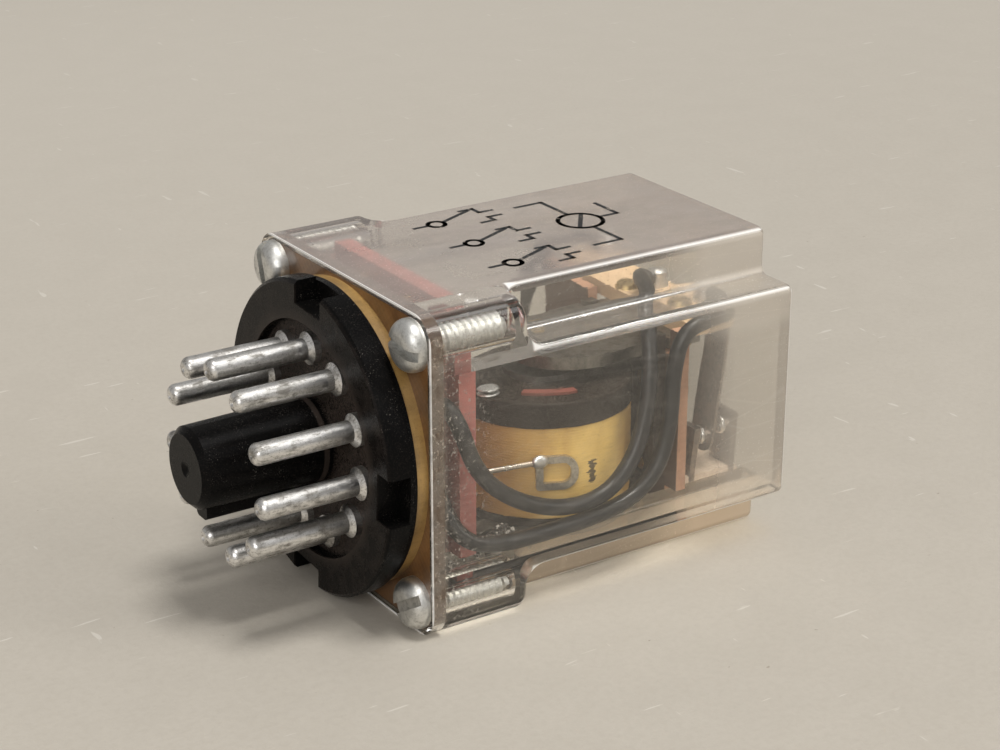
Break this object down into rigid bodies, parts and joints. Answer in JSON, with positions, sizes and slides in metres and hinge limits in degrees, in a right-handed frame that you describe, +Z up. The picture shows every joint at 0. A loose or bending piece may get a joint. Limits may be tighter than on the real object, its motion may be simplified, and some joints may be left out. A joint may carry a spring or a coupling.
{
  "type": "plug-in power relay",
  "caption": "Square plug-in relay with a round pin base and guide key, a clear stepped cover and a rocking armature that switches a row of changeover contacts.",
  "frame": {"origin": "centre of the pin circle in the seating plane, the front rim of the black pin base", "axes": "+X along the relay from the pins to the closed end of the cover, +Z up as it lies on one long side, with the guide key on the -Z side"},
  "size_m": [0.0654, 0.0356, 0.0356],
  "materials": {
    "clear_plastic": "clear, slightly smoky moulded plastic with a faint haze",
    "black_phenolic": "black moulding, satin to glossy",
    "brown_laminate": "dark brown laminated sheet, glossy",
    "amber_laminate": "amber laminated sheet",
    "red_laminate": "red laminated sheet",
    "board_laminate": "red-brown laminated sheet",
    "tan_laminate": "tan laminated sheet",
    "tinned_brass": "tinned, dull streaks",
    "zinc_steel": "zinc plated steel",
    "core_iron": "soft iron",
    "rivet_brass": "brass",
    "contact_bronze": "spring bronze",
    "contact_silver": "silver alloy",
    "amber_tape": "amber adhesive tape round the winding",
    "black_sleeving": "black insulated wire",
    "bare_copper": "tinned copper wire"
  },
  "bodies": {
    "base": {"cover": "clear_plastic", "base_plate": "brown_laminate", "spacer_disc": "amber_laminate", "pin_base": "black_phenolic", "pin_1": "tinned_brass", "pin_2": "tinned_brass", "pin_3": "tinned_brass", "pin_4": "tinned_brass", "pin_5": "tinned_brass", "pin_6": "tinned_brass", "pin_7": "tinned_brass", "pin_8": "tinned_brass", "pin_9": "tinned_brass", "pin_10": "tinned_brass", "pin_11": "tinned_brass", "cover_screws": "zinc_steel", "insulating_plate": "red_laminate", "plate_spacers": "rivet_brass", "frame_rivets": "rivet_brass", "yoke": "zinc_steel", "coil_core": "core_iron", "coil_bobbin": "black_phenolic", "coil_winding": "amber_tape", "coil_tags": "tinned_brass", "contact_board": "board_laminate", "board_rivets": "rivet_brass", "block_rivets": "rivet_brass", "contact_block": "board_laminate", "rest_bar_1": "contact_bronze", "work_bar_1": "contact_bronze", "rest_bar_2": "contact_bronze", "work_bar_2": "contact_bronze", "rest_bar_3": "contact_bronze", "work_bar_3": "contact_bronze", "fixed_contacts": "contact_silver", "contact_wire_1": "black_sleeving", "contact_wire_2": "black_sleeving", "contact_wire_3": "black_sleeving", "contact_wire_4": "black_sleeving", "contact_wire_5": "black_sleeving", "contact_wire_6": "black_sleeving", "coil_wire_1": "bare_copper", "coil_wire_2": "bare_copper", "return_spring": "zinc_steel", "flexible_lead_1": "black_sleeving", "flexible_lead_2": "black_sleeving", "flexible_lead_3": "black_sleeving"},
    "armature": {"armature": "zinc_steel", "residual_stud": "rivet_brass", "contact_carrier": "tan_laminate", "moving_blade_1": "contact_bronze", "moving_blade_2": "contact_bronze", "moving_blade_3": "contact_bronze", "moving_contacts": "contact_silver", "carrier_rivets": "rivet_brass", "blade_rivets": "rivet_brass"}
  },
  "joints": [
    {"name": "armature_tilt", "type": "hinge", "parent": "base", "child": "armature", "pos_m": [0.0375, -0.0034, 0.0053], "axis": [0, -1, 0], "range_deg": [0, 4.6], "stiffness_Nm_per_rad": 0.02, "springref_deg": -5.73, "deforming": ["return_spring", "flexible_lead_1", "flexible_lead_2", "flexible_lead_3"]}
  ]
}
